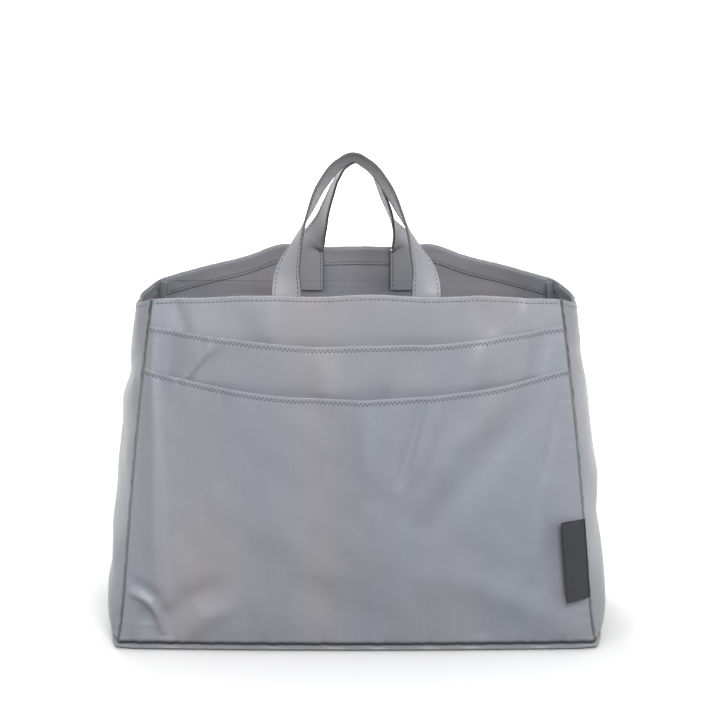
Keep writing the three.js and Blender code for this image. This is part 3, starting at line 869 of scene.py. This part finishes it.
def strap_seat(handle):
    """Where a strap leaves the rim: the rim's height at its inner edge, the fold's height and its centre y."""
    rise = FRONT_RIM_RISE if handle["side"] < 0 else BACK_RIM_RISE
    inner = (handle["half_spacing"] - STRAP_WIDTH / 2) / half_width(RIM_HEIGHT)
    rim = RIM_HEIGHT + rise * arch(inner)
    u = handle["half_spacing"] / half_width(rim)
    outer = half_depth(rim) + panel_swell(rim) * arch(u)
    return rim, rim + FOLD_GAP, handle["side"] * (outer - STRAP_INSET - STRAP_THICKNESS / 2), outer


def strap_turn(handle, rise, on_right):
    """Angle between a strap's width and the panel's plane: it grows to the full turn as one less an
    exponential of the rise, and the right leg is ahead of the left one by a half wave of the rise."""
    turn = handle["full_turn"] * (1 - np.exp(-(rise / handle["turn_share"]) ** TURN_POWER))
    difference = handle["leg_turn"] * np.sin(np.pi * rise ** LEG_TURN_POWER)
    return np.radians(turn + np.where(on_right, difference, -difference))


def strap_frames(handle, count=220):
    """Centres and the along, across and through directions of a strap, from one sewn end to the other. It
    lies in the panel's plane at its feet, and on its way up each leg's inner edge comes to the front."""
    rim, fold_height, seat_y, _ = strap_seat(handle)
    leg = []
    for z in (rim - SEWN_LENGTH, rim - SEWN_LENGTH / 2, rim - 5):
        u = handle["half_spacing"] / half_width(z)
        y = half_depth(z) + panel_swell(z) * arch(u) - STRAP_INSET - STRAP_THICKNESS / 2
        leg.append((handle["half_spacing"], handle["side"] * y, z))
    for spread, rise in handle["route"]:
        lean = mix(seat_y, handle["side"] * handle["apex_offset"], rise ** LEAN_POWER)
        leg.append((spread * handle["half_spacing"], lean, fold_height + handle["rise"] * rise))
    leg = np.array(leg)
    knots = np.concatenate([leg * [-1, 1, 1], leg[-2::-1]])
    share = np.clip((knots[:, 2] - fold_height) / handle["rise"], 0, 1)
    knots[:, 0] += handle["shift"] * share
    centre = smooth_path(knots, count)
    tangent = unit(np.gradient(centre, axis=0))
    rise = np.clip((centre[:, 2] - fold_height) / handle["rise"], 0, 1)
    turn = strap_turn(handle, rise, np.arange(count) > count / 2)[:, None]
    back = np.array([0, 1, 0])
    across = unit(np.cross(tangent, back)) * np.cos(turn) + back * np.sin(turn)
    across = unit(across - (across * tangent).sum(axis=1, keepdims=True) * tangent)
    return centre, tangent, across, np.cross(tangent, across)


def strap_section():
    """Outline of the strap, (across, through): two faces with a groove along each stitch line, round edges."""
    outline_points = rounded_bar(STRAP_WIDTH, STRAP_THICKNESS * 0.9, 38)
    groove = bell(np.abs(outline_points[:, 0]) - (STRAP_WIDTH / 2 - STRAP_STITCH_INSET), 0.7)
    outline_points[:, 1] *= 1 - 0.28 * groove
    return outline_points


def add_strap(name, handle, nodes, seed):
    centre, tangent, across, through = strap_frames(handle)
    section = strap_section()
    length = np.arange(len(centre)) * 1.2
    bow = ripple(length, 0 * length, seed, 60, 0.35)[:, None] * (1 - (section[:, 0] / STRAP_WIDTH * 2) ** 2)
    offset = section[None, :, 1:] + bow[..., None]
    loops = centre[:, None] + section[None, :, :1] * across[:, None] + offset * through[:, None]
    # Painted shade on the strap's folded edges, where their sides turn out of the light.
    painted_edge_band = smooth(np.abs(section[:, 0]), STRAP_WIDTH / 2 - STRAP_THICKNESS / 2, STRAP_WIDTH / 2)
    edge = np.broadcast_to(STRAP_EDGE_PAINTED_SHADE * painted_edge_band, loops.shape[:2])
    piece = skin(name, loops, strap_nylon, painted_shade=edge)
    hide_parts(*nodes)
    return blend_strap(piece)


def blend_strap(piece):
    """Bakes a strap piece's placement into its mesh."""
    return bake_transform(piece)


for name, handle, seed in (("front_handle", FRONT_HANDLE, 91), ("back_handle", BACK_HANDLE, 92)):
    add_strap(f"{name}_strap", handle, [name, f"{name}_left_end", f"{name}_right_end"], seed)


# Tab

def add_tab():
    """One ribbon folded in a loop: its front ply stands off the pocket, rolls over at its free edge, and the
    back ply returns to the seam closer to the pocket. It droops slightly towards its free edge."""
    z = np.linspace(TAB_LOW, TAB_LOW + TAB_HEIGHT, 60)
    angle = math.radians(TAB_ANGLE)
    front_length = TAB_WIDTH - 2.2
    turn = np.linspace(0, np.pi, 12)
    radius = 1.5
    centre_line = [(s, -radius * smooth(np.array(s), 2, 16)) for s in np.linspace(0, front_length, 16)]
    centre_line += [(front_length + radius * math.sin(t), -radius * math.cos(t)) for t in turn[1:-1]]
    centre_line += [(s, radius * smooth(np.array(s), 2, 16)) for s in np.linspace(front_length, 0, 16)]
    line = np.array([(float(a), float(b)) for a, b in centre_line])
    side = unit(np.gradient(line, axis=0))[:, ::-1] * [1, -1]
    outer, inner = line - side * TAB_PLY / 2, line + side * TAB_PLY / 2
    section = np.concatenate([outer, inner[::-1]])
    along = np.array([-math.cos(angle), -math.sin(angle), 0.0])
    through = np.array([-along[1], along[0], 0.0])
    seam = points(half_width(z), -half_depth(z) - lower_slack(1.0, z) - TAB_STAND_OFF, z)
    curl = 0.5 * np.sin((z - TAB_LOW) / TAB_HEIGHT * np.pi)[:, None, None]
    reach = section[None, :, :1]
    loops = seam[:, None] + reach * along + (section[None, :, 1:] - curl * (reach / TAB_WIDTH) ** 2) * through
    loops[..., 2] -= 0.05 * reach[..., 0]
    return place(skin("folded_tab_ribbon", loops[:, ::-1], ribbon), "label", "label_tab", body="label_tab")


add_tab()


# Stitches

def stitches(name, centre, direction, normal, length, width, material):
    """Rows of thread: for each place a small closed grain, long along its direction and half sunk."""
    rings = np.array([-0.82, -0.35, 0.35, 0.82])
    radius = np.sqrt(1 - rings ** 2) ** 0.7
    turn = np.linspace(0, 2 * np.pi, 6, endpoint=False)
    body_points = np.stack([np.repeat(rings, 6) * length / 2,
                            (radius[:, None] * np.cos(turn)).ravel() * width / 2,
                            (radius[:, None] * np.sin(turn)).ravel() * width / 2], axis=-1)
    grain = np.concatenate([[[-length / 2, 0, 0]], body_points, [[length / 2, 0, 0]]])
    quads = []
    for ring in range(3):
        for i in range(6):
            a, b = 1 + ring * 6 + i, 1 + ring * 6 + (i + 1) % 6
            quads.append((a, a + 6, b + 6, b))
    for i in range(6):
        quads.append((0, 1 + i, 1 + (i + 1) % 6, 0))
        quads.append((25, 19 + (i + 1) % 6, 19 + i, 25))
    quads = np.array(quads)
    direction = unit(direction)
    side = unit(np.cross(normal, direction))
    up = np.cross(direction, side)
    axes = np.stack([direction, side, up], axis=1)
    vertices = centre[:, None] + np.einsum("vk,nkx->nvx", grain, axes)
    faces = (quads[None] + (np.arange(len(centre)) * len(grain))[:, None, None]).reshape(-1, 4)
    uv = np.tile(grain[quads][..., :2], (len(centre), 1, 1, 1)).reshape(-1, 4, 2)
    return make_mesh(name, vertices.reshape(-1, 3), faces, uv, material)


def row_on(surface, height, spacing, trim, lift, outward=1, inset=0.0):
    """Places along a line at height(u) on a surface: centres, directions and normals."""
    u = np.linspace(-trim, trim, 1200)
    h = 0.02
    z = height(u)
    here = surface(u, z)
    along = surface(u + 1e-4, height(u + 1e-4)) - surface(u - 1e-4, height(u - 1e-4))
    rising = surface(u, z + h) - surface(u, z - h)
    normal = unit(np.cross(along, rising))
    run = np.concatenate([[0], np.cumsum(np.linalg.norm(np.diff(here, axis=0), axis=1))])
    at = np.arange(spacing / 2, run[-1], spacing)
    pick = lambda values: np.stack([np.interp(at, run, values[:, k]) for k in range(3)], axis=-1)
    normal = unit(pick(normal))
    return pick(here) + normal * (outward * lift - inset), unit(pick(along)), normal * outward


def add_stitch_row(name, surface, height, spacing=3.2, length=2.4, width=0.55, trim=0.985, inset=0.0, outward=1):
    centre, along, normal = row_on(surface, height, spacing, trim, 0.05, outward, inset)
    return place(stitches(name, centre, along, normal, length, width, thread), "nylon")


for side, surface, rim in (("front", front_surface, front_rim), ("back", back_surface, back_rim),
                           ("left", left_surface, side_rim), ("right", right_surface, side_rim)):
    add_stitch_row(f"{side}_rim_stitching", surface, lowered(rim, RIM_STITCH_DROP),
                   trim=0.975 if side in ("front", "back") else 0.93)
    add_stitch_row(f"{side}_facing_stitching", surface, lowered(rim, FACING_DROP + FACING_HEIGHT - 2),
                   trim=0.955 if side in ("front", "back") else 0.83,
                   inset=SHELL_CLOTH + CLEARANCE * 1.2 + TAPE, outward=-1)


def add_zigzag(name, surface, rim, drop, half_height=0.75, pitch=1.5):
    """A narrow zigzag: thread that leans one way and the other, and at every turn a dark grain that paints the shade in
    the needle hole.
    """
    centre, along, normal = row_on(surface, lowered(rim, drop), pitch, 0.992, 0.06)
    rise = np.cross(normal, along)
    lean = np.where(np.arange(len(centre)) % 2 == 0, 1.0, -1.0)[:, None]
    direction = along * pitch / 2 + rise * lean * half_height
    place(stitches(f"{name}_stitching", centre, direction, normal, 1.7, 0.5, pale_thread), "nylon")
    # Painted shade: a dark grain of thread in each needle hole.
    holes = centre + along * pitch / 2 + rise * lean * half_height
    place(stitches(f"{name}_needle_hole_painted_shade", holes, along, normal, 1.25, 0.8, thread), "nylon")


add_zigzag("lower_hem", lower_surface, lower_hem, HEM_STITCH_DROP)
add_zigzag("middle_hem", middle_surface, middle_hem, HEM_STITCH_DROP)


def add_strap_stitching(name, handle, spacing=3.2):
    """Two rows along both faces of a strap."""
    centre, tangent, across, through = strap_frames(handle, 1200)
    run = np.concatenate([[0], np.cumsum(np.linalg.norm(np.diff(centre, axis=0), axis=1))])
    at = np.arange(2.5, run[-1] - 2, spacing)
    pick = lambda values: np.stack([np.interp(at, run, values[:, k]) for k in range(3)], axis=-1)
    centre, tangent, across, through = pick(centre), unit(pick(tangent)), unit(pick(across)), unit(pick(through))
    rows = []
    for side in (-1, 1):
        for face in (-1, 1):
            edge = across * side * (STRAP_WIDTH / 2 - STRAP_STITCH_INSET)
            rows.append((centre + edge + through * face * STRAP_THICKNESS * 0.36, tangent, through * face))
    places, directions, normals = (np.concatenate([row[k] for row in rows]) for k in range(3))
    piece = stitches(name, places, directions, normals, 2.5, 0.5, thread)
    return blend_strap(piece)


add_strap_stitching("front_handle_stitching", FRONT_HANDLE)
add_strap_stitching("back_handle_stitching", BACK_HANDLE)


# Floor, light and camera

def white_to_the_camera(nodes, links):
    """1 for rays from the camera and their mirror and clear continuations, and 0 for the light's own bounces."""
    path = nodes.new("ShaderNodeLightPath")
    seen = math_node(nodes, links, "MAXIMUM", path.outputs["Is Camera Ray"], path.outputs["Is Glossy Ray"])
    return math_node(nodes, links, "MAXIMUM", seen, path.outputs["Is Transmission Ray"])


FLOOR_SEEN = 1.07
FLOOR_BOUNCE = 0.18


def add_floor():
    """A pale floor. The camera sees it white with the object's shadow on it, and plain white further away;
    the light that it bounces back is that of a grey floor."""
    bpy.ops.mesh.primitive_plane_add(size=30, location=(0, 0, -0.0004))
    floor = bpy.context.object
    floor.name = "floor"
    material, nodes, links, shader = new_material("floor_white")
    seen = white_to_the_camera(nodes, links)
    matt = nodes.new("ShaderNodeBsdfDiffuse")
    tone = math_node(nodes, links, "MULTIPLY_ADD", seen, FLOOR_SEEN - FLOOR_BOUNCE, FLOOR_BOUNCE)
    links.new(tone, matt.inputs["Color"])
    reach = nodes.new("ShaderNodeVectorMath")
    reach.operation = "LENGTH"
    links.new(nodes.new("ShaderNodeTexCoord").outputs["Object"], reach.inputs[0])
    fade = nodes.new("ShaderNodeMapRange")
    fade.inputs["From Min"].default_value = 0.2
    fade.inputs["From Max"].default_value = 0.7
    links.new(reach.outputs["Value"], fade.inputs["Value"])
    glow = nodes.new("ShaderNodeEmission")
    links.new(math_node(nodes, links, "MULTIPLY", fade.outputs[0], seen), glow.inputs["Strength"])
    both = nodes.new("ShaderNodeAddShader")
    links.new(matt.outputs[0], both.inputs[0])
    links.new(glow.outputs[0], both.inputs[1])
    links.new(both.outputs[0], nodes["Material Output"].inputs["Surface"])
    nodes.remove(shader)
    floor.data.materials.append(material)


def add_world(strength):
    world = bpy.data.worlds.new("white_studio")
    bpy.context.scene.world = world
    world.use_nodes = True
    nodes, links = world.node_tree.nodes, world.node_tree.links
    back = nodes["Background"]
    back.inputs["Color"].default_value = (1, 1, 1, 1)
    seen = white_to_the_camera(nodes, links)
    level = math_node(nodes, links, "MULTIPLY_ADD", seen, 1 - strength, strength)
    links.new(level, back.inputs["Strength"])


def add_area(name, location, size, power, target=(0, 0, 0.13)):
    light = bpy.data.lights.new(name, "AREA")
    light.shape = "RECTANGLE"
    light.size, light.size_y = size
    light.energy = power
    lamp = bpy.data.objects.new(name, light)
    bpy.context.scene.collection.objects.link(lamp)
    lamp.location = location
    aim = np.array(target) - np.array(location)
    lamp.rotation_euler = Vector(aim).to_track_quat("-Z", "Y").to_euler()


def add_camera():
    """Seen from 1.6 m in front and 0.62 m up, pitched down by 14.83 degrees."""
    data = bpy.data.cameras.new("camera")
    data.lens = 113.72
    data.sensor_width = 36
    camera = bpy.data.objects.new("camera", data)
    bpy.context.scene.collection.objects.link(camera)
    camera.location = (0.0025, -1.6, 0.62)
    camera.rotation_euler = (math.radians(75.17), 0, 0)
    bpy.context.scene.camera = camera


add_floor()
add_world(0.26)
add_area("overhead_softbox", (0.0, 0.1, 1.45), (1.2, 0.9), 7.5)
add_area("left_softbox", (-1.2, -1.5, 1.0), (0.7, 0.9), 8)
add_area("right_softbox", (1.6, -1.0, 0.85), (0.8, 1.1), 7)
add_area("front_softbox", (0.35, -2.0, 1.45), (0.9, 0.7), 28)
add_area("back_softbox", (-0.5, 1.8, 1.2), (0.9, 0.9), 18)
add_camera()
bpy.context.scene.view_settings.view_transform = "Standard"
